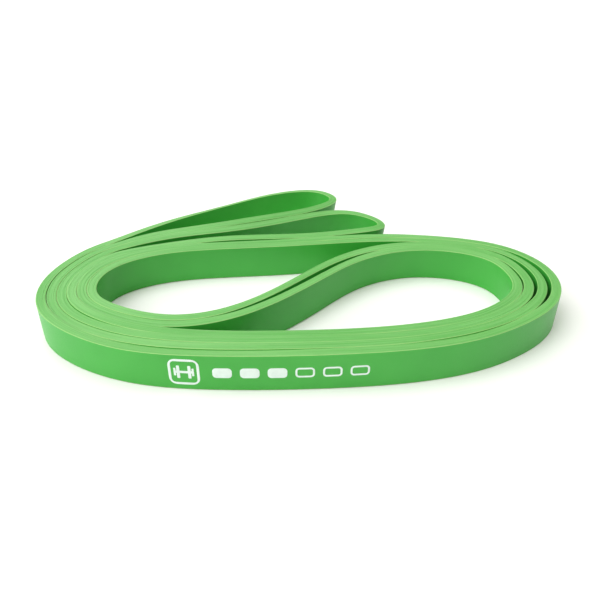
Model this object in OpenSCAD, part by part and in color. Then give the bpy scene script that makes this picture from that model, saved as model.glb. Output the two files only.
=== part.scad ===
// Loop resistance band, doubled and laid down in a loose coil, standing on its edge.
// The flattened loop is a pair of strands that goes once round, then once more inside
// itself through an S-shaped turn. Its two folded ends stick out behind as open ears.

/* [Band] */
// Width of the band, which is its height as it stands on its edge
band_w = 12.7; // [12:0.1:20]
// Thickness of the band, all plies together
band_t = 3.2; // [2.4:0.1:3.2]
// Thickness of each of the two skin plies
skin_t = 0.8; // [0.4:0.1:1]

/* [Coil] */
// Air gap between the two strands of a pair where they lie together
strand_gap = 0.1; // [0.05:0.01:0.15]
// Air gap between neighbouring pairs where they lie together
pair_gap = 0.3; // [0.3:0.05:0.4]

/* [Flex joints] */
// Clearance across the round cut of each flex joint
joint_gap = 0.35; // [0.3:0.05:0.5]

/* [Print] */
// Thickness of the printed ink film
ink_t = 0.15; // [0.1:0.05:0.3]
// Height of the print's centre line above the lower edge
print_z = 6.5; // [6:0.1:7]
// Side of the square badge
badge_side = 9.4; // [8:0.1:10]
// Width of the badge's outline
badge_line = 0.8; // [0.4:0.1:1]
// Number of bars in the resistance gauge
bar_count = 6; // [3:1:6]
// Number of bars that are solid, which shows the resistance level
bars_filled = 3; // [0:1:6]
// Length of one bar
bar_l = 5.8; // [4:0.1:6]
// Height of one bar
bar_h = 3.6; // [2:0.1:4]

/* [Hidden] */

skin_color = [0.35, 0.70, 0.37];
core_color = [0.50, 0.78, 0.47];
ink_color = [0.95, 0.97, 0.95];

// Guide points of the outer pair's middle line: the left bend, the front, the right bend, the back
outer_lap = [[-73, 57], [-81, 50], [-89, 31], [-86, 12], [-74, -1], [-54, -11], [-32, -14], [-3, -14],
             [28, -12], [52, -7], [70, 2], [86, 16], [90, 36], [78, 56], [50, 62], [22, 62], [-8, 56], [-48, 54]];
// Guide points of the S-shaped turn from the left bend to the right bend
s_turn = [[-43, -1], [-19, 6], [1, 26], [18, 46], [46, 57]];
// Guide points of the rear ear, from its front strand round the tip to its rear strand
rear_ear = [[-60, 66], [-35, 75], [-15, 83], [2, 89], [16, 99], [15, 107], [6, 115], [-16, 109], [-36, 92],
            [-60, 75]];
// Guide points of the front ear, from its front strand round the tip to its rear strand
front_ear = [[-50, 57], [-28, 63], [4, 64], [26, 69], [37, 72], [30, 84], [16, 90], [-5, 80], [-27, 70],
             [-50, 64]];
// Stretches of the loop that carry the badge and the gauge, in guide points
badge_stretch = [14.5, 17];
gauge_stretch = [15, 18.5];
// Left-right places of the badge's middle and of the gauge's left end
badge_x = -35;
gauge_x = -26.5;
// Gap between two bars, width of an open bar's outline, and radius of a bar's corners
bar_space = 2.4;
bar_line = 0.6;
art_round = 1.2;
// Length and height of the dumbbell sign's handle and plates, as shares of the badge's side
handle_size = [0.6, 0.09];
inner_plate_size = [0.1, 0.5];
outer_plate_size = [0.07, 0.3];
// Distance of the plates from the badge's middle, as shares of its side
inner_plate_at = 0.18;
outer_plate_at = 0.29;
// Extra gap at the right bend, by guide point: inside the outer pair, inside the inner pair, between the pairs
outer_spread = [[10, 0], [11, 1], [12, 1.8], [13, 0]];
inner_spread = [[10, 0], [11, 0.4], [12, 1.1], [13, 0.5], [14, 0]];
pair_spread = [[10, 0], [11, 0.5], [12, 2], [13, 0.5], [14, 0]];
// Extra gap between the two strands of the S-shaped turn, by guide point
s_spread = [0, 0.8, 1.6, 2.5, 0.2];
// Guide points of the outer lap that the inner laps follow at the left bend and from the right bend on
left_bend = [1, 2, 3, 4];
right_to_left = [13, 12, 11, 10, 9, 8, 7, 6, 5, 4, 3, 2, 1, 0];
// Straight steps to each guide point
steps = 6;

function unit(v) = v / norm(v);
function left_of(v) = [-v.y, v.x];
// Guide point i moved d to the left, with the factor that makes the smooth curve move by d
function beside(g, i, d) =
    let (u = unit(g[i] - g[i - 1]), v = unit(g[i + 1] - g[i]))
    g[i] + left_of(unit(u + v)) * d * 3 / (2 + u * v);
// The list g with one more point at each end
function extended(g, before, after) = concat([before], g, [after]);

pitch = 2 * band_t + strand_gap + pair_gap;
lap_last = len(outer_lap) - 1;
lap_guide = extended(outer_lap, 2 * outer_lap[0] - outer_lap[1],
    2 * outer_lap[lap_last] - outer_lap[lap_last - 1]);

// Middle line of the pair from the rear ear to the front ear, and the gap between its strands at each point
pair_line = concat(
    outer_lap,
    [for (i = left_bend) beside(lap_guide, i + 1, 2 * pitch)],
    s_turn,
    [for (i = right_to_left)
        beside(lap_guide, i + 1, pitch + lookup(i, outer_spread) / 2 + lookup(i, pair_spread)
            + lookup(i, inner_spread) / 2)]);
pair_open = concat(
    [for (i = [0 : lap_last]) lookup(i, outer_spread)],
    [for (i = left_bend) 0],
    s_spread,
    [for (i = right_to_left) lookup(i, inner_spread)]);

// Guide points of one strand of the pair: side -1 is the right one, 1 the left one
function strand_guide(side, before, after) =
    let (g = extended(pair_line, before, after))
    [for (i = [0 : len(pair_line) - 1]) beside(g, i + 1, side * (band_t + strand_gap + pair_open[i]) / 2)];
right_strand = strand_guide(-1, rear_ear[len(rear_ear) - 1], front_ear[0]);
left_strand = strand_guide(1, rear_ear[0], front_ear[len(front_ear) - 1]);
pair_last = len(pair_line) - 1;
loop_guide = concat(rear_ear, right_strand, front_ear, [for (i = [pair_last : -1 : 0]) left_strand[i]]);
guide_n = len(loop_guide);

// Point at step k of the smooth closed curve through the loop's guide
function loop_point(k) =
    let (i = floor(k / steps), u = k / steps - i, n = guide_n, g = loop_guide,
        a = g[(i - 1 + n) % n], b = g[(i + n) % n], c = g[(i + 1) % n], d = g[(i + 2) % n])
    (a * pow(1 - u, 3) + b * (3 * pow(u, 3) - 6 * u * u + 4)
        + c * (-3 * pow(u, 3) + 3 * u * u + 3 * u + 1) + d * pow(u, 3)) / 6;
line_n = guide_n * steps;
loop_line = [for (k = [0 : line_n - 1]) loop_point(k)];
function on_line(k) = loop_line[(k + line_n) % line_n];
// Point at step k, d outside the loop's middle line
function offset_point(k, d) = on_line(k) - left_of(unit(on_line(k + 1) - on_line(k - 1))) * d;

// The origin is below the middle of the whole coil
outline = [for (k = [0 : line_n - 1]) offset_point(k, band_t / 2)];
outline_x = [for (p = outline) p.x];
outline_y = [for (p = outline) p.y];
middle = [min(outline_x) + max(outline_x), min(outline_y) + max(outline_y)] / 2;

// Places on the loop, in guide points
rear_ear_out = len(rear_ear);
front_ear_in = rear_ear_out + pair_last;
front_ear_out = front_ear_in + 1 + len(front_ear);
// Distance, in guide points, from the strands' ends to the ears' root joint, and from there to the rear ear's
ears_at = 1;
rear_at = 1.3;
// The root joint of both ears is in the middle of the four strands that run into them
ears_cuts = [rear_ear_out + ears_at, front_ear_in - ears_at, front_ear_out + ears_at, guide_n - 1 - ears_at];
function guide_place(u) = on_line(round(u * steps));
ears_pivot = (guide_place(ears_cuts[0]) + guide_place(ears_cuts[1])
    + guide_place(ears_cuts[2]) + guide_place(ears_cuts[3])) / 4;
ears_r = norm(guide_place(ears_cuts[0]) - guide_place(ears_cuts[1])) / 2 + band_t / 2;
// The root joint of the rear ear is in the middle of its own two strands
rear_cuts = [ears_cuts[0] - rear_at, ears_cuts[3] + rear_at];
rear_pivot = (guide_place(rear_cuts[0]) + guide_place(rear_cuts[1])) / 2;
rear_r = norm(guide_place(rear_cuts[0]) - guide_place(rear_cuts[1])) / 2 + band_t / 2;
ears_along = unit(left_of(guide_place(ears_cuts[1]) - guide_place(ears_cuts[0])));
rear_along = unit(left_of(guide_place(rear_cuts[1]) - guide_place(rear_cuts[0])));
// Overlap of a moving strand into its round knuckle, in guide points
knuckle = 0.5;
// How far a cutting shape runs past what it cuts
over = 1;

// Offsets of the three plies from the loop's middle line
outer_ply = [band_t / 2 - skin_t, band_t / 2];
core_ply = [skin_t - band_t / 2, band_t / 2 - skin_t];
inner_ply = [-band_t / 2, skin_t - band_t / 2];

// One ply of the band from guide place a to guide place b
module strand(a, b, ply) {
    first = round(a * steps);
    last = round(b * steps);
    translate(-middle)
        linear_extrude(band_w)
            polygon(concat([for (k = [first : last]) offset_point(k, ply[0])],
                [for (k = [last : -1 : first]) offset_point(k, ply[1])]));
}

// The round space of a flex joint
module joint_space(pivot, r) {
    translate([pivot.x - middle.x, pivot.y - middle.y, -over])
        cylinder(r = r, h = band_w + 2 * over, $fn = 72);
}

// What a moving strand leaves free behind its pivot: all but its round knuckle
module behind_joint(pivot, along, r) {
    reach = 3 * r;
    difference() {
        translate([pivot.x - middle.x, pivot.y - middle.y, -over / 2])
            rotate([0, 0, atan2(along.y, along.x)])
                translate([-reach, -reach, 0])
                    cube([reach, 2 * reach, band_w + over]);
        joint_space(pivot, r);
    }
}

module coil_ply(ply) {
    difference() {
        union() {
            strand(ears_cuts[0], ears_cuts[1], ply);
            strand(ears_cuts[2], ears_cuts[3], ply);
        }
        joint_space(ears_pivot, ears_r + joint_gap);
    }
}

module front_ear_ply(ply) {
    difference() {
        union() {
            strand(rear_cuts[0], ears_cuts[0] + knuckle, ply);
            strand(ears_cuts[1] - knuckle, ears_cuts[2] + knuckle, ply);
            strand(ears_cuts[3] - knuckle, rear_cuts[1], ply);
        }
        behind_joint(ears_pivot, ears_along, ears_r);
        joint_space(rear_pivot, rear_r + joint_gap);
    }
}

module rear_ear_ply(ply) {
    difference() {
        strand(rear_cuts[1] - guide_n - knuckle, rear_cuts[0] + knuckle, ply);
        behind_joint(rear_pivot, rear_along, rear_r);
    }
}

// Flat art in the x and z directions, laid as an ink film on one stretch of the outer lap's front
module printed(stretch) {
    intersection() {
        strand(stretch[0], stretch[1], [band_t / 2, band_t / 2 + ink_t]);
        translate([0, 0, print_z])
            rotate([90, 0, 0])
                linear_extrude(2 * band_w + max(outline_y) - min(outline_y), center = true)
                    children();
    }
}

module rounded_bar(l, h, r) {
    square([l - 2 * r, h], center = true);
    square([l, h - 2 * r], center = true);
    for (x = [r - l / 2, l / 2 - r], y = [r - h / 2, h / 2 - r])
        translate([x, y]) circle(r = r, $fn = 32);
}

module coil_outer_ply() { color(skin_color) coil_ply(outer_ply); }
module coil_core_ply() { color(core_color) coil_ply(core_ply); }
module coil_inner_ply() { color(skin_color) coil_ply(inner_ply); }
module front_ear_outer_ply() { color(skin_color) front_ear_ply(outer_ply); }
module front_ear_core_ply() { color(core_color) front_ear_ply(core_ply); }
module front_ear_inner_ply() { color(skin_color) front_ear_ply(inner_ply); }
module rear_ear_outer_ply() { color(skin_color) rear_ear_ply(outer_ply); }
module rear_ear_core_ply() { color(core_color) rear_ear_ply(core_ply); }
module rear_ear_inner_ply() { color(skin_color) rear_ear_ply(inner_ply); }

// Square badge with a plain dumbbell sign
module badge_print() {
    color(ink_color)
        printed(badge_stretch)
            translate([badge_x, 0]) {
                difference() {
                    rounded_bar(badge_side, badge_side, 2 * art_round);
                    rounded_bar(badge_side - 2 * badge_line, badge_side - 2 * badge_line, art_round);
                }
                square(badge_side * handle_size, center = true);
                for (side = [-1, 1]) {
                    translate([side * badge_side * inner_plate_at, 0])
                        square(badge_side * inner_plate_size, center = true);
                    translate([side * badge_side * outer_plate_at, 0])
                        square(badge_side * outer_plate_size, center = true);
                }
            }
}

// Row of bars that shows the resistance level
module gauge_print() {
    color(ink_color)
        printed(gauge_stretch)
            for (i = [0 : bar_count - 1])
                translate([gauge_x + bar_l / 2 + i * (bar_l + bar_space), 0])
                    difference() {
                        rounded_bar(bar_l, bar_h, art_round);
                        if (i >= bars_filled)
                            rounded_bar(bar_l - 2 * bar_line, bar_h - 2 * bar_line, art_round - bar_line);
                    }
}

coil_outer_ply();
coil_core_ply();
coil_inner_ply();
front_ear_outer_ply();
front_ear_core_ply();
front_ear_inner_ply();
rear_ear_outer_ply();
rear_ear_core_ply();
rear_ear_inner_ply();
badge_print();
gauge_print();
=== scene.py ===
"""A loop resistance band, doubled and laid on its edge in a loose coil, with a white print.

The band is one closed line swept with three bonded plies. Each ply is cut into the coil, the front
ear and the rear ear. Lengths are in millimetres until a mesh is made.
"""

import math

import bpy
import numpy as np
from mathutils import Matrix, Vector


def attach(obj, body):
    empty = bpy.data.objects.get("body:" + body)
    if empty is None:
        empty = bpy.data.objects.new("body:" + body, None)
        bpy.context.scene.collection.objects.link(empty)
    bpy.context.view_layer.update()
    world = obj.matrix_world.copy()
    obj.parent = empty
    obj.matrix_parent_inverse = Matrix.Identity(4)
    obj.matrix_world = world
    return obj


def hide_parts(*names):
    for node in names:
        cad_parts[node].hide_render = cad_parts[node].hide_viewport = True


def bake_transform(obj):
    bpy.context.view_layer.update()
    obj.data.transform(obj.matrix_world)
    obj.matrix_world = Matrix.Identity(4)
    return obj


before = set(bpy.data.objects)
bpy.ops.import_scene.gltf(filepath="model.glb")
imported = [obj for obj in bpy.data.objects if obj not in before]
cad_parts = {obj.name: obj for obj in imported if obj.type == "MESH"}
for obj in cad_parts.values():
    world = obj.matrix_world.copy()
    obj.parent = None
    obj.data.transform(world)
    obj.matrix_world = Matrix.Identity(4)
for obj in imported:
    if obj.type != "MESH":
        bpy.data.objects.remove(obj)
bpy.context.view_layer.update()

MM = 0.001

# ---------------------------------------- camera

CAMERA_PLACE = (-0.000548, -0.204559, 0.1179)
CAMERA_DOWN = 31.71
CAMERA_LENS = 35.86
CAMERA_CLIP = 0.005


def add_camera():
    data = bpy.data.cameras.new("camera")
    data.lens = CAMERA_LENS
    data.clip_start = CAMERA_CLIP
    camera = bpy.data.objects.new("camera", data)
    camera.location = CAMERA_PLACE
    camera.rotation_euler = (math.radians(90 - CAMERA_DOWN), 0, 0)
    bpy.context.scene.collection.objects.link(camera)
    bpy.context.scene.camera = camera


add_camera()

# ---------------------------------------- the loop's middle line, as in the CAD source

BAND_W = 12.7
BAND_T = 3.2
SKIN_T = 0.8
STRAND_GAP = 0.1
PAIR_GAP = 0.3
# Guide points, in a frame of the plan's own whose origin is not the CAD's
OUTER_LAP = [(-73, 57), (-81, 50), (-89, 31), (-86, 12), (-74, -1), (-54, -11), (-32, -14),
             (-3, -14), (28, -12), (52, -7), (70, 2), (86, 16), (90, 36), (78, 56), (50, 62),
             (22, 62), (-8, 56), (-48, 54)]
S_TURN = [(-43, -1), (-19, 6), (1, 26), (18, 46), (46, 57)]
REAR_EAR = [(-60, 66), (-35, 75), (-15, 83), (2, 89), (16, 99), (15, 107), (6, 115), (-16, 109),
            (-36, 92), (-60, 75)]
FRONT_EAR = [(-50, 57), (-28, 63), (4, 64), (26, 69), (37, 72), (30, 84), (16, 90), (-5, 80),
             (-27, 70), (-50, 64)]
# Where the laps stand apart: numbers of the outer lap's points, and gaps in mm there
OUTER_SPREAD = ((10, 11, 12, 13), (0, 1, 1.8, 0))
INNER_SPREAD = ((10, 11, 12, 13, 14), (0, 0.4, 1.1, 0.5, 0))
PAIR_SPREAD = ((10, 11, 12, 13, 14), (0, 0.5, 2, 0.5, 0))
S_SPREAD = [0, 0.8, 1.6, 2.5, 0.2]
LEFT_BEND = [1, 2, 3, 4]
RIGHT_TO_LEFT = range(13, -1, -1)
CAD_STEPS = 6


def unit(v):
    return v / np.linalg.norm(v)


def left_of(v):
    return np.array([-v[1], v[0]])


def right_of(vectors):
    return np.stack([vectors[:, 1], -vectors[:, 0]], 1)


def beside(guide, i, d):
    """Guide point i moved to the left by as much as makes the smooth curve move by d."""
    u, v = unit(guide[i] - guide[i - 1]), unit(guide[i + 1] - guide[i])
    return guide[i] + left_of(unit(u + v)) * d * 3 / (2 + u @ v)


def spread(i, table):
    return float(np.interp(i, *table))


def loop_guide():
    """The closed list of guide points: rear ear, right strand, front ear, left strand back."""
    lap = np.array(OUTER_LAP, float)
    lap = np.vstack([2 * lap[0] - lap[1], lap, 2 * lap[-1] - lap[-2]])
    pitch = 2 * BAND_T + STRAND_GAP + PAIR_GAP
    left_bend = [beside(lap, i + 1, 2 * pitch) for i in LEFT_BEND]
    line = list(lap[1:-1]) + left_bend + list(np.array(S_TURN, float))
    gaps = [spread(i, OUTER_SPREAD) for i in range(len(OUTER_LAP))]
    gaps += [0] * len(LEFT_BEND) + S_SPREAD
    for i in RIGHT_TO_LEFT:
        half_gaps = spread(i, OUTER_SPREAD) / 2, spread(i, INNER_SPREAD) / 2
        apart = half_gaps[0] + spread(i, PAIR_SPREAD) + half_gaps[1]
        line.append(beside(lap, i + 1, pitch + apart))
        gaps.append(spread(i, INNER_SPREAD))

    def strand(side, before, after):
        guide = np.vstack([before, line, after])
        shifts = [side * (BAND_T + STRAND_GAP + gap) / 2 for gap in gaps]
        return [beside(guide, i + 1, shift) for i, shift in enumerate(shifts)]

    right = strand(-1, REAR_EAR[-1], FRONT_EAR[0])
    left = strand(1, REAR_EAR[0], FRONT_EAR[-1])
    return np.array(list(REAR_EAR) + right + list(FRONT_EAR) + left[::-1], float)


GUIDE = loop_guide()
REAR_EAR_OUT = len(REAR_EAR)
FRONT_EAR_OUT = (len(GUIDE) + len(REAR_EAR) + len(FRONT_EAR)) // 2


def curve(u):
    """Points and slopes of the smooth closed line, a uniform cubic B-spline, at guide places u."""
    i = np.floor(u).astype(int)
    f = (u - i)[:, None]
    a, b, c, d = (GUIDE[(i + k) % len(GUIDE)] for k in (-1, 0, 1, 2))
    points = (a * (1 - f) ** 3 + b * (3 * f**3 - 6 * f**2 + 4)
              + c * (-3 * f**3 + 3 * f**2 + 3 * f + 1) + d * f**3) / 6
    slopes = (-a * (1 - f) ** 2 + b * (3 * f**2 - 4 * f)
              + c * (-3 * f**2 + 2 * f + 1) + d * f**2) / 2
    return points, slopes


def cad_middle():
    """The CAD's origin in plan: the middle of its own outline, which has straight steps."""
    points, _ = curve(np.arange(len(GUIDE) * CAD_STEPS) / CAD_STEPS)
    along = np.roll(points, -1, 0) - np.roll(points, 1, 0)
    along /= np.linalg.norm(along, axis=1)[:, None]
    outline = points + right_of(along) * BAND_T / 2
    return (outline.min(0) + outline.max(0)) / 2


FINE_STEPS = 60
fine_u = np.arange(len(GUIDE) * FINE_STEPS + 1) / FINE_STEPS
fine_points, _ = curve(fine_u)
fine_s = np.concatenate([[0], np.cumsum(np.linalg.norm(np.diff(fine_points, axis=0), axis=1))])
LOOP_LENGTH = fine_s[-1]
MIDDLE = cad_middle()


def length_at(u):
    return float(np.interp(u, fine_u, fine_s))


def guide_place(s):
    return np.interp(np.mod(s, LOOP_LENGTH), fine_s, fine_u)


def at_length(s):
    """Places in the CAD frame, and unit tangents, of the middle line at lengths s along it."""
    points, slopes = curve(guide_place(s))
    return points - MIDDLE, slopes / np.linalg.norm(slopes, axis=1)[:, None]


# ---------------------------------------- where the ears are cut from the coil

# Guide steps from an ear's end to its cut, and half a root's length
EARS_AT = 1
ROOT_HALF = 8.5
ears_cuts = [REAR_EAR_OUT + EARS_AT, FRONT_EAR_OUT - len(FRONT_EAR) - 1 - EARS_AT,
             FRONT_EAR_OUT + EARS_AT, len(GUIDE) - 1 - EARS_AT]


# Lengths along the loop of the roots, which go a little to either side of each cut, and the runs
# of lengths of the coil, the front ear and the rear ear between them
starts = [length_at(u) - ROOT_HALF for u in ears_cuts]
ends = [length_at(u) + ROOT_HALF for u in ears_cuts]
COIL = [(ends[0], starts[1]), (ends[2], starts[3])]
FRONT = [(starts[0], ends[0]), (starts[1], ends[2]), (starts[3], ends[3])]
REAR = [(ends[3], starts[0] + LOOP_LENGTH)]

# ---------------------------------------- the band's cross-section

CORE_HALF = BAND_T / 2 - SKIN_T
OUTER_ROUND = 0.22
PLY_GROOVE = 0.06
ROUND_STEPS = 5
GROOVE_STEPS = 2
FLAT_INSET = 0.12
SHORTEST_FLAT = 0.2


def corner(d, z, r, turn, steps):
    """Points of a rounded corner at (d, z), a quarter turn that starts at the angle turn."""
    cd = d - r * math.copysign(1, math.cos(turn + math.pi / 4))
    cz = z - r * math.copysign(1, math.sin(turn + math.pi / 4))
    angles = turn + np.linspace(0, math.pi / 2, steps)
    return [(cd + r * math.cos(a), cz + r * math.sin(a)) for a in angles]


def ply_corners(d0, d1, round0, round1):
    """The four corners of one ply across the band, from offset d0 to d1, counter-clockwise."""
    steps0 = ROUND_STEPS if round0 > PLY_GROOVE else GROOVE_STEPS
    steps1 = ROUND_STEPS if round1 > PLY_GROOVE else GROOVE_STEPS
    return [corner(d0, 0, round0, math.pi, steps0),
            corner(d1, 0, round1, 1.5 * math.pi, steps1),
            corner(d1, BAND_W, round1, 0, steps1),
            corner(d0, BAND_W, round0, 0.5 * math.pi, steps0)]


def with_flats(corners):
    """Joins the corners, with points a little way into each side that keep it flat when smooth."""
    out = []
    for i, points in enumerate(corners):
        out += points
        a, b = np.array(points[-1]), np.array(corners[(i + 1) % len(corners)][0])
        length = np.linalg.norm(b - a)
        if length > SHORTEST_FLAT:
            inset = min(FLAT_INSET, length / 3) / length
            out += [tuple(a + (b - a) * inset), tuple(b - (b - a) * inset)]
    return np.array(out)


# Each ply: its sides across the band, and how round its corners are on those sides
PLIES = {
    "outer_skin": (CORE_HALF, BAND_T / 2, PLY_GROOVE, OUTER_ROUND),
    "core": (-CORE_HALF, CORE_HALF, PLY_GROOVE, PLY_GROOVE),
    "inner_skin": (-BAND_T / 2, -CORE_HALF, OUTER_ROUND, PLY_GROOVE),
}


def cut_share(profile):
    """1 on the cut top and bottom edges, 0 on the smooth faces, and between on the corners."""
    depth = np.minimum(profile[:, 1], BAND_W - profile[:, 1])
    return 1 - np.clip(depth / OUTER_ROUND, 0, 1)


# ---------------------------------------- sweeping

RING_STEP = (0.35, 1.5)
STEP_PER_RADIUS = 0.06
BEND_SAMPLE = 0.25
SMALLEST_TURN = 1e-6


def ring_lengths(s0, s1):
    """Lengths of the rings from s0 to s1, closer together in tight bends."""
    s = np.linspace(s0, s1, int((s1 - s0) / BEND_SAMPLE))
    _, tangents = at_length(s)
    turned = np.abs(tangents[1:, 0] * tangents[:-1, 1] - tangents[1:, 1] * tangents[:-1, 0])
    radius = np.diff(s) / np.maximum(turned, SMALLEST_TURN)
    steps = np.clip(radius * STEP_PER_RADIUS, *RING_STEP)
    rings = np.concatenate([[0], np.cumsum(np.diff(s) / steps)])
    return np.interp(np.linspace(0, rings[-1], int(round(rings[-1])) + 1), rings, s)


# Where the soft band leans and sways off its guide: in the ears, in the S and in the left bend,
# where the laps are pressed together. Each row is a guide place, the lean in degrees and the sway
# in mm, both of the top to the loop's outside. Guide places run on past the loop's start.
LAY = [(44.3, 0, 0), (45.3, 0, -0.2), (47.5, 0, -0.22), (48.4, 0, -0.1), (49.2, 0, 0.3),
       (50, 0, 0.2), (51, 4, 0.3), (52, 8, 0.6), (53, 10, 0.7), (54, 8, 0.3), (55, 8, 0),
       (56.3, -2, 0), (57, -10, -0.7), (58, -17, -0.6), (59, -18, 0.3), (60, -14, 0.9),
       (61, -4, 0.6), (61.8, 0, 0.25), (64.8, 0, 0.2), (66, 0, 0), (72, 0, 0), (74, -4, 0),
       (75, -5, -0.2), (75.6, -5, -0.4), (76, -3.5, -0.35), (76.5, 0, -0.1), (77, 2, 0),
       (79, 0, 0), (80.2, 0, -0.45), (81.5, 0, -0.55), (82.6, 0, -0.8), (83.1, 0, -0.9),
       (83.6, 0, -0.5), (84.3, 0, 0), (100, 0, 0), (101.5, 5, 0.6), (102.3, 13, 1.1),
       (103, 18, 1.3), (104, 19, 1.3), (105, 17, 1), (106, 12, 0.4), (107, 5, 0), (108, 9, 0),
       (109, 13, 0), (110, 12, 0), (111, 6, 0), (112.5, 0, 0), (128.7, 0, 0), (129.4, 0, 0.5),
       (130, 0, 0.9), (130.7, 0, 0.75), (131.7, 0, 0.5), (132.6, 0, 0.4), (133.5, 0, 0),
       (134, 0, 0), (136, -2, 0), (136.5, 0, -0.1), (137, 3.5, -0.35), (137.4, 5, -0.4),
       (138, 5, -0.2), (139, 4, 0), (141, 0, 0)]
LAY_SMOOTHING = (-0.3, -0.15, 0, 0.15, 0.3)


def laid(s):
    """The top's middle at lengths s, unit vectors to the loop's outside, and leans in radians."""
    u = guide_place(s)
    u = np.where(u < LAY[0][0], u + len(GUIDE), u)
    at, leans, sways = np.array(LAY).T
    near = [(np.interp(u + shift, at, leans), np.interp(u + shift, at, sways))
            for shift in LAY_SMOOTHING]
    leaning, swaying = np.mean(near, 0)
    points, tangents = at_length(s)
    out = right_of(tangents)
    return points + out * swaying[:, None], out, np.radians(leaning)


# The gap that stays between strands that press together. They do so where they would be closer
# than the first gap below, and fade out of it up to the second.
SWELL_LEFT = 0.07
SWELL_GAP = (0.5, 0.9)
GAP_SAMPLE = 1.5
SAME_PLACE = 0.8
NO_STRAND = 99


def strand_gaps():
    """Lengths along the loop, and the gaps there to the next strand outside it and inside it."""
    s = np.arange(0, LOOP_LENGTH, GAP_SAMPLE)
    points, out, _ = laid(s)
    away = points[None] - points[:, None]
    along = np.abs(np.einsum("ijk,ik->ij", away, right_of(out)))
    gaps = []
    for side in (1, -1):
        across = np.einsum("ijk,ik->ij", away, out) * side
        next_to_it = (along < SAME_PLACE) & (across > BAND_T / 2)
        gaps.append(np.where(next_to_it, across, NO_STRAND).min(1) - BAND_T)
    return s, gaps


gap_s, gap_sides = strand_gaps()


def swell(s):
    """How far the band spreads outwards and inwards at lengths s to press on its neighbours."""
    spreads = []
    for gap in gap_sides:
        room = np.maximum(0, gap - SWELL_LEFT) / 2
        pressed = np.clip((SWELL_GAP[1] - gap) / (SWELL_GAP[1] - SWELL_GAP[0]), 0, 1)
        spreads.append(np.interp(np.mod(s, LOOP_LENGTH), gap_s, room * pressed, period=LOOP_LENGTH))
    return spreads


def waves(s, *parts):
    """A wavering value at lengths s. Each part is its waves in the loop, their height and start."""
    turns = 2 * math.pi * s / LOOP_LENGTH
    return sum(height * np.sin(count * turns + start) for count, height, start in parts)


def lift(s):
    """How far the band's lower edge is off the surface at lengths s."""
    return 0.12 + waves(s, (9, 0.05, 0.4), (17, 0.04, 2.1))


def rise(s):
    """How much wider than its nominal width the band is at lengths s."""
    return 0.1 + waves(s, (11, 0.12, 0.9), (23, 0.09, 3.3), (41, 0.05, 1.7))


def cut_slope(s):
    """The slope of the knife's cut across the top edge at lengths s."""
    return waves(s, (7, 0.035, 1.3), (19, 0.03, 3.0), (29, 0.02, 5.2))


def ring_faces(row, nxt, n):
    """Quads from a ring of n vertices that starts at row to one that starts at nxt."""
    return [(row + k, row + (k + 1) % n, nxt + (k + 1) % n, nxt + k) for k in range(n)]


def cap(row, n):
    return tuple(range(row, row + n))


def sweep(name, runs, profile):
    """A mesh of closed strips along the loop, one for each run of lengths, all of one profile."""
    verts, faces, uvs, shares = [], [], [], []
    n = len(profile)
    sideways, height = profile.T
    around = np.concatenate([[0], np.cumsum(np.linalg.norm(np.diff(profile, axis=0), axis=1))])
    share = cut_share(profile)
    at_face = np.clip((sideways - CORE_HALF) / (SKIN_T / 2), 0, 1)
    at_back = np.clip((-sideways - CORE_HALF) / (SKIN_T / 2), 0, 1)
    at_top = height > BAND_W / 2
    for s0, s1 in runs:
        s = ring_lengths(s0, s1)
        points, out, leaning = laid(s)
        cos, sin = np.cos(leaning)[:, None], np.sin(leaning)[:, None]
        outwards, inwards = swell(s)
        across = sideways[None] + np.outer(outwards, at_face) - np.outer(inwards, at_back)
        below = height[None] - BAND_W + np.outer(cut_slope(s), sideways * at_top)
        below = below + np.outer(rise(s), at_top)
        xy = points[:, None, :] + out[:, None, :] * (across * cos + below * sin)[:, :, None]
        z = BAND_W + below * cos - across * sin
        # A leaning band stands on one corner of its lower edge, which must not sink
        z += lift(s)[:, None] + np.maximum(0, BAND_T / 2 * abs(sin) - BAND_W * (1 - cos))
        first = len(verts)
        verts += list(np.concatenate([xy, z[:, :, None]], 2).reshape(-1, 3) * MM)
        shares += list(np.tile(share, len(s)))
        uvs += [(a * MM, b * MM) for a in s for b in around]
        last = first + (len(s) - 1) * n
        for row in range(first, last, n):
            faces += ring_faces(row, row + n, n)
        faces += [cap(first, n)[::-1], cap(last, n)]
    return mesh_object(name, verts, faces, uvs, shares)


SHARP_ANGLE = 60


def mesh_object(name, verts, faces, uvs, shares):
    """An object with smooth faces, uvs along and round the band, and the share of cut edge."""
    mesh = bpy.data.meshes.new(name)
    mesh.from_pydata([tuple(v) for v in verts], [], faces)
    mesh.validate()
    mesh.polygons.foreach_set("use_smooth", np.ones(len(mesh.polygons), bool))
    mesh.set_sharp_from_angle(angle=math.radians(SHARP_ANGLE))
    loop_verts = np.zeros(len(mesh.loops), int)
    mesh.loops.foreach_get("vertex_index", loop_verts)
    layer = mesh.uv_layers.new(name="Band")
    layer.data.foreach_set("uv", np.array(uvs, np.float32)[loop_verts].ravel())
    cut = mesh.attributes.new("cut", "FLOAT", "POINT")
    cut.data.foreach_set("value", np.array(shares, np.float32))
    obj = bpy.data.objects.new(name, mesh)
    bpy.context.scene.collection.objects.link(obj)
    return obj


# ---------------------------------------- materials


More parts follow.
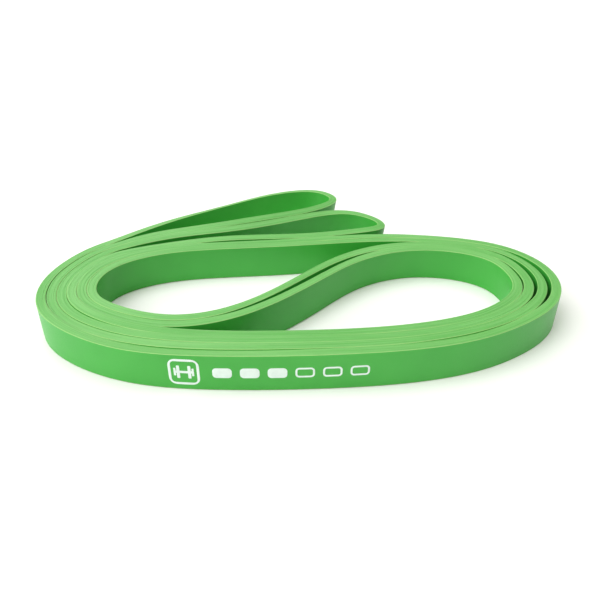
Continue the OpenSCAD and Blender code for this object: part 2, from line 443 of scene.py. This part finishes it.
class Nodes:
    """Short calls that make and join the nodes of one material."""

    def __init__(self, name):
        self.material = bpy.data.materials.new(name)
        self.material.use_nodes = True
        self.tree = self.material.node_tree
        self.tree.nodes.clear()
        self.shader = self.add("ShaderNodeBsdfPrincipled")
        output = self.add("ShaderNodeOutputMaterial")
        self.join(self.shader.outputs[0], output.inputs["Surface"])

    def set(self, name, value):
        self.shader.inputs[name].default_value = value

    def add(self, kind, **settings):
        node = self.tree.nodes.new(kind)
        for key, value in settings.items():
            setattr(node, key, value)
        return node

    def join(self, source, target):
        self.tree.links.new(source, target)

    def put(self, target, value):
        """Joins a socket to target, or sets its value."""
        if isinstance(value, bpy.types.NodeSocket):
            self.join(value, target)
        else:
            target.default_value = value

    def math(self, operation, a, b=0.0, c=0.0):
        node = self.add("ShaderNodeMath", operation=operation)
        for target, value in zip(node.inputs, (a, b, c)):
            self.put(target, value)
        return node.outputs[0]

    def mix(self, share, a, b):
        node = self.add("ShaderNodeMix", data_type="RGBA")
        self.put(node.inputs["Factor"], share)
        self.put(node.inputs[6], a)
        self.put(node.inputs[7], b)
        return node.outputs[2]

    def noise(self, vector, scale, detail=2.0, roughness=0.5, stretch=(1, 1, 1)):
        mapping = self.add("ShaderNodeMapping")
        mapping.inputs["Scale"].default_value = stretch
        self.join(vector, mapping.inputs["Vector"])
        node = self.add("ShaderNodeTexNoise")
        self.join(mapping.outputs[0], node.inputs["Vector"])
        node.inputs["Scale"].default_value = scale
        node.inputs["Detail"].default_value = detail
        node.inputs["Roughness"].default_value = roughness
        return node.outputs["Fac"]

    def remap(self, value, low, high, to_low, to_high):
        node = self.add("ShaderNodeMapRange")
        for target, v in zip(node.inputs, (value, low, high, to_low, to_high)):
            self.put(target, v)
        return node.outputs[0]

    def bump(self, height, distance, normal=None):
        node = self.add("ShaderNodeBump")
        node.inputs["Distance"].default_value = distance
        node.inputs["Strength"].default_value = 1
        self.join(height, node.inputs["Height"])
        if normal is not None:
            self.join(normal, node.inputs["Normal"])
        return node.outputs[0]


SKIN_GREEN = (0.050, 0.400, 0.046, 1)
SKIN_GREEN_DEEP = (0.041, 0.370, 0.039, 1)
CUT_GREEN = (0.175, 0.49, 0.13, 1)
CUT_GREEN_DEEP = (0.105, 0.40, 0.075, 1)
# Painted highlight: a paler yellow-green laid on the skins' rounded corners, in place of the light
# they catch and glow with
RIM_HIGHLIGHT_GREEN = (0.34, 0.60, 0.20, 1)
RIM_HIGHLIGHT_STRENGTH = 3.6
FACE_ROUGHNESS = (0.35, 0.45)
CUT_ROUGHNESS = (0.52, 0.68)
# Noise waves per metre, the same all ways or first along the band and then across it, and how
# deep the bumps are in metres
CLOUDS = 45
SPECKLE = 2600
KNIFE_MARKS = (90, 5200, 1)
STRIPS = (22, 1500, 1)
STRETCHES = (11, 0, 0)
SPECKLE_DEPTH = 0.00002
MARK_DEPTH = 0.00012


def latex(name, is_skin):
    """Latex: smooth satin faces, paler matte cut edges with the knife's marks along them, and a
    painted highlight on the skins' rounded corners.
    """
    m = Nodes(name)
    place = m.add("ShaderNodeTexCoord").outputs["Object"]
    along = m.add("ShaderNodeUVMap", uv_map="Band").outputs["UV"]
    cut = m.add("ShaderNodeAttribute", attribute_name="cut").outputs["Fac"]
    clouds = m.noise(place, CLOUDS, 3, 0.55)
    speckle = m.noise(place, SPECKLE, 2, 0.6)
    knife = m.noise(along, 1, 4, 0.6, KNIFE_MARKS)
    strips = m.noise(along, 1, 2, 0.5, STRIPS)
    stretches = m.noise(along, 1, 2, 0.5, STRETCHES)
    face = m.mix(m.remap(clouds, 0.35, 0.65, 0, 1), SKIN_GREEN_DEEP, SKIN_GREEN)
    fine = m.math("MULTIPLY_ADD", strips, 0.4, m.math("MULTIPLY", knife, 0.25))
    streaks = m.math("MULTIPLY_ADD", stretches, 0.35, fine)
    edge = m.mix(m.remap(streaks, 0.42, 0.58, 0, 1), CUT_GREEN_DEEP, CUT_GREEN)
    if is_skin:
        # Painted highlight on the rounded corners, strongest half-way round each one
        highlight_at_corner = m.math("MULTIPLY", cut, m.math("SUBTRACT", 1.0, cut))
        painted_rim_highlight = m.math("MULTIPLY", highlight_at_corner, RIM_HIGHLIGHT_STRENGTH)
        share = m.remap(cut, 0.35, 0.9, 0, 1)
        colour = m.mix(painted_rim_highlight, m.mix(share, face, edge), RIM_HIGHLIGHT_GREEN)
    else:
        share = 1.0
        colour = edge
    m.join(colour, m.shader.inputs["Base Color"])
    satin = m.remap(speckle, 0.3, 0.7, *FACE_ROUGHNESS)
    matte = m.remap(knife, 0.3, 0.7, *CUT_ROUGHNESS)
    rough = m.add("ShaderNodeMix")
    m.put(rough.inputs[0], share)
    m.join(satin, rough.inputs[2])
    m.join(matte, rough.inputs[3])
    m.join(rough.outputs[0], m.shader.inputs["Roughness"])
    grain = m.bump(speckle, SPECKLE_DEPTH)
    marks = m.math("MULTIPLY", knife, share)
    m.join(m.bump(marks, MARK_DEPTH, grain), m.shader.inputs["Normal"])
    m.set("IOR", 1.5)
    m.set("Subsurface Weight", 0.12)
    m.set("Subsurface Radius", (0.5, 1.0, 0.4))
    m.set("Subsurface Scale", 0.0008)
    return m.material


INK_WHITE = (0.78, 0.88, 0.84, 1)
INK_WHITE_THIN = (0.70, 0.80, 0.76, 1)
INK_OVER_GREEN = (0.45, 0.72, 0.46, 1)
PATCHES = 420
PINHOLES = 5200


def ink():
    """White screen print: slightly uneven, with pinholes that let a little green through."""
    m = Nodes("print_ink")
    place = m.add("ShaderNodeTexCoord").outputs["Object"]
    patches = m.noise(place, PATCHES, 3, 0.6)
    pinholes = m.noise(place, PINHOLES, 2, 0.5)
    white = m.mix(m.remap(patches, 0.35, 0.7, 0, 1), INK_WHITE_THIN, INK_WHITE)
    thin = m.remap(pinholes, 0.66, 0.78, 0, 0.5)
    m.join(m.mix(thin, white, INK_OVER_GREEN), m.shader.inputs["Base Color"])
    m.join(m.remap(patches, 0.3, 0.7, 0.38, 0.52), m.shader.inputs["Roughness"])
    m.join(m.bump(pinholes, SPECKLE_DEPTH), m.shader.inputs["Normal"])
    return m.material


skin_material = latex("latex_skin", True)
core_material = latex("latex_core", False)
ink_material = ink()

# ---------------------------------------- the band's pieces


def bend(obj):
    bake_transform(obj)


for ply, sides_and_rounds in PLIES.items():
    profile = with_flats(ply_corners(*sides_and_rounds))
    is_core = ply == "core"
    cad_ply = "core_ply" if is_core else ply.replace("skin", "ply")
    for group, runs in (("coil", COIL), ("front_ear", FRONT), ("rear_ear", REAR)):
        piece = sweep(f"{group}_{ply}", runs, profile)
        piece.data.materials.append(core_material if is_core else skin_material)
        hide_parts(f"{group}_{cad_ply}")
        if group == "coil":
            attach(piece, "coil")
        elif group == "front_ear":
            bend(piece)
        else:
            bend(piece)

# ---------------------------------------- the print

PRINT_Z = 6.5
INK_T = 0.06
INK_SIDE = 0.6 * INK_T
INK_SUNK = -0.02
BADGE_X = -35
BADGE_SIDE = 9.4
BADGE_LINE = 0.8
# The dumbbell's bar and plates, in parts of the badge's side: off its middle, length and height,
# and how round they are in mm
BAR = (0, 0.6, 0.09, 0.15)
PLATES = ((0.18, 0.1, 0.5, 0.3), (0.29, 0.07, 0.3, 0.2))
GAUGE_X = -26.5
BAR_L = 5.8
BAR_H = 3.6
BAR_SPACE = 2.4
BAR_LINE = 0.6
BAR_COUNT = 6
BARS_FILLED = 3
ART_ROUND = 1.2
SIDE_POINTS = 10
CORNER_POINTS = 6
PRINT_GUIDE = (REAR_EAR_OUT + 4, REAR_EAR_OUT + 9)
WALL_POINTS = 400
wall_s = np.linspace(*(length_at(u) for u in PRINT_GUIDE), WALL_POINTS)
wall_points, wall_tangents = at_length(wall_s)
wall_out = right_of(wall_tangents)
wall = wall_points + wall_out * BAND_T / 2


def on_wall(x, z, proud):
    """The art's point (x, z) laid on the band's front face, proud of it by that much."""
    y = np.interp(x, wall[:, 0], wall[:, 1])
    out = np.stack([np.interp(x, wall[:, 0], wall_out[:, k]) for k in (0, 1)], 1)
    s = np.interp(x, wall[:, 0], wall_s)
    return np.stack([x + out[:, 0] * proud, y + out[:, 1] * proud, z + lift(s)], 1)


def rounded_outline(x, z, length, height, r):
    """Points round a rectangle with round corners, centred at (x, z)."""
    a, b = length / 2, height / 2
    centres = ((a - r, b - r), (r - a, b - r), (r - a, r - b), (a - r, r - b))
    next_corners = ((r - a, b), (-a, r - b), (a - r, -b), (a, b - r))
    points = []
    for quarter, ((cx, cz), (nx, nz)) in enumerate(zip(centres, next_corners)):
        for angle in np.linspace(0, math.pi / 2, CORNER_POINTS) + quarter * math.pi / 2:
            points.append((x + cx + r * math.cos(angle), z + cz + r * math.sin(angle)))
        start, end = np.array(points[-1]), np.array((x + nx, z + nz))
        points += [tuple(start + (end - start) * t) for t in np.linspace(0, 1, SIDE_POINTS)[1:-1]]
    return np.array(points)


# How far across an ink line, or from a solid shape's outline to its centre, each ring of points is
LINE_RINGS = (0, 0, 0.08, 0.5, 0.92, 1, 1)
LINE_HEIGHTS = (INK_SUNK, INK_SIDE, INK_T, INK_T, INK_T, INK_SIDE, INK_SUNK)
SOLID_RINGS = (0, 0.06, 0.4, 0.75, 0.97)
SOLID_HEIGHTS = (INK_SIDE, INK_T, INK_T, INK_T, INK_T)


def film(outer, inner, shares, heights, skipped=()):
    """Points of rings between two outlines with as many points, and the faces that join them."""
    n, count = len(outer), len(shares)
    rings = [outer + (inner - outer) * t for t in shares]
    verts = np.concatenate([on_wall(p[:, 0], p[:, 1], high) for p, high in zip(rings, heights)])
    joined = [r for r in range(count) if r not in skipped]
    quads = [f for r in joined for f in ring_faces(r * n, (r + 1) % count * n, n)]
    return verts, [f[::-1] for f in quads]


def line_film(x, z, length, height, inside, r, inside_r):
    """An ink film between a rounded rectangle and a smaller one, with softly rounded borders."""
    outer = rounded_outline(x, z, length, height, r)
    inner = rounded_outline(x, z, *inside, inside_r)
    return film(outer, inner, LINE_RINGS, LINE_HEIGHTS)


def solid_film(x, z, length, height, r):
    """An ink film that covers a whole rounded rectangle, up to a tiny cap at its centre."""
    outer = rounded_outline(x, z, length, height, r)
    n, last = len(outer), len(SOLID_RINGS) - 1
    shares = SOLID_RINGS + SOLID_RINGS[::-1]
    heights = SOLID_HEIGHTS + (INK_SUNK,) * len(SOLID_RINGS)
    verts, faces = film(outer, np.array((x, z)), shares, heights, (last,))
    return verts, faces + [cap(last * n, n), cap(last * n + n, n)[::-1]]


def art_object(name, films, cad_node):
    verts, faces = [], []
    for v, f in films:
        faces += [tuple(len(verts) + k for k in face) for face in f]
        verts += list(v * MM)
    piece = mesh_object(name, verts, faces, [(v[0], v[2]) for v in verts], [0] * len(verts))
    piece.data.materials.append(ink_material)
    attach(piece, "coil")
    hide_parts(cad_node)


def badge_films():
    """A rounded square outline round a plain dumbbell sign."""
    inside = BADGE_SIDE - 2 * BADGE_LINE
    films = [line_film(BADGE_X, PRINT_Z, BADGE_SIDE, BADGE_SIDE, (inside, inside), 2 * ART_ROUND,
                       ART_ROUND)]
    for side, parts in ((1, (BAR,)), (-1, PLATES), (1, PLATES)):
        for off, length, height, r in parts:
            films.append(solid_film(BADGE_X + side * BADGE_SIDE * off, PRINT_Z,
                                    BADGE_SIDE * length, BADGE_SIDE * height, r))
    return films


def gauge_films():
    """Bars that show the resistance level: the first ones solid, the others outlines."""
    films = []
    for i in range(BAR_COUNT):
        x = GAUGE_X + BAR_L / 2 + i * (BAR_L + BAR_SPACE)
        if i < BARS_FILLED:
            films.append(solid_film(x, PRINT_Z, BAR_L, BAR_H, ART_ROUND))
        else:
            inside = BAR_L - 2 * BAR_LINE, BAR_H - 2 * BAR_LINE
            films.append(line_film(x, PRINT_Z, BAR_L, BAR_H, inside, ART_ROUND,
                                   ART_ROUND - BAR_LINE))
    return films


art_object("badge", badge_films(), "badge_print")
art_object("gauge", gauge_films(), "gauge_print")

# ---------------------------------------- stage and light

FLOOR_HALF = 6.0
FLOOR_SHADES = ((0.93, 0.93, 0.92, 1), (0.95, 0.95, 0.94, 1))
FLOOR_PATCHES = 30
ROOM_COLOUR = (1, 0.985, 0.89, 1)
ROOM_LEFT = 0.76
ROOM_RIGHT = 0.26
SEEN_BACKGROUND = 1.05


def floor_material():
    m = Nodes("floor")
    place = m.add("ShaderNodeTexCoord").outputs["Object"]
    tone = m.remap(m.noise(place, FLOOR_PATCHES), 0.3, 0.7, 0, 1)
    m.join(m.mix(tone, *FLOOR_SHADES), m.shader.inputs["Base Color"])
    m.set("Roughness", 0.9)
    m.set("Specular IOR Level", 0.1)
    return m.material


def add_floor():
    a = FLOOR_HALF
    mesh = bpy.data.meshes.new("floor")
    mesh.from_pydata([(-a, -a, 0), (a, -a, 0), (a, a, 0), (-a, a, 0)], [], [(0, 1, 2, 3)])
    mesh.materials.append(floor_material())
    floor = bpy.data.objects.new("floor", mesh)
    bpy.context.scene.collection.objects.link(floor)


def add_lamp(name, data, power, place):
    """A lamp that shines from place towards the object."""
    data.energy = power
    lamp = bpy.data.objects.new(name, data)
    lamp.rotation_euler = Vector(place).to_track_quat("Z", "Y").to_euler()
    bpy.context.scene.collection.objects.link(lamp)
    return lamp


def add_sun(name, place, power, softness, colour):
    """A far soft light, as wide as softness in degrees."""
    data = bpy.data.lights.new(name, "SUN")
    data.angle = math.radians(softness)
    data.color = colour
    add_lamp(name, data, power, place)


def add_panel(name, place, power, size):
    """A soft square lamp, which lights the nearer side of the object more."""
    data = bpy.data.lights.new(name, "AREA")
    data.size = size
    panel = add_lamp(name, data, power, place)
    panel.location = place
    panel.visible_camera = False


def add_world():
    """A dim warm room, darker on the right, that the camera sees as plain white."""
    world = bpy.data.worlds.new("studio")
    world.use_nodes = True
    tree = world.node_tree
    room = tree.nodes["Background"]
    room.inputs["Color"].default_value = ROOM_COLOUR
    around = tree.nodes.new("ShaderNodeTexCoord")
    axes = tree.nodes.new("ShaderNodeSeparateXYZ")
    fall = tree.nodes.new("ShaderNodeMapRange")
    for socket, value in zip(fall.inputs[1:5], (-1, 1, ROOM_LEFT, ROOM_RIGHT)):
        socket.default_value = value
    tree.links.new(around.outputs["Generated"], axes.inputs[0])
    tree.links.new(axes.outputs["X"], fall.inputs[0])
    tree.links.new(fall.outputs[0], room.inputs["Strength"])
    seen = tree.nodes.new("ShaderNodeBackground")
    seen.inputs["Color"].default_value = (1, 1, 1, 1)
    seen.inputs["Strength"].default_value = SEEN_BACKGROUND
    path = tree.nodes.new("ShaderNodeLightPath")
    mix = tree.nodes.new("ShaderNodeMixShader")
    tree.links.new(path.outputs["Is Camera Ray"], mix.inputs[0])
    tree.links.new(room.outputs[0], mix.inputs[1])
    tree.links.new(seen.outputs[0], mix.inputs[2])
    tree.links.new(mix.outputs[0], tree.nodes["World Output"].inputs["Surface"])
    bpy.context.scene.world = world


add_floor()
add_sun("key", (-0.9, -0.35, 0.9), 1.25, 50, (0.98, 1, 1))
add_sun("top", (0, 0.15, 1.3), 1.3, 60, (1, 1, 1))
add_panel("side", (-0.34, -0.38, 0.28), 0.65, 0.3)
add_panel("sheen", (-0.3, 0.45, 0.32), 0.75, 0.3)
add_world()
bpy.context.scene.view_settings.view_transform = "Standard"
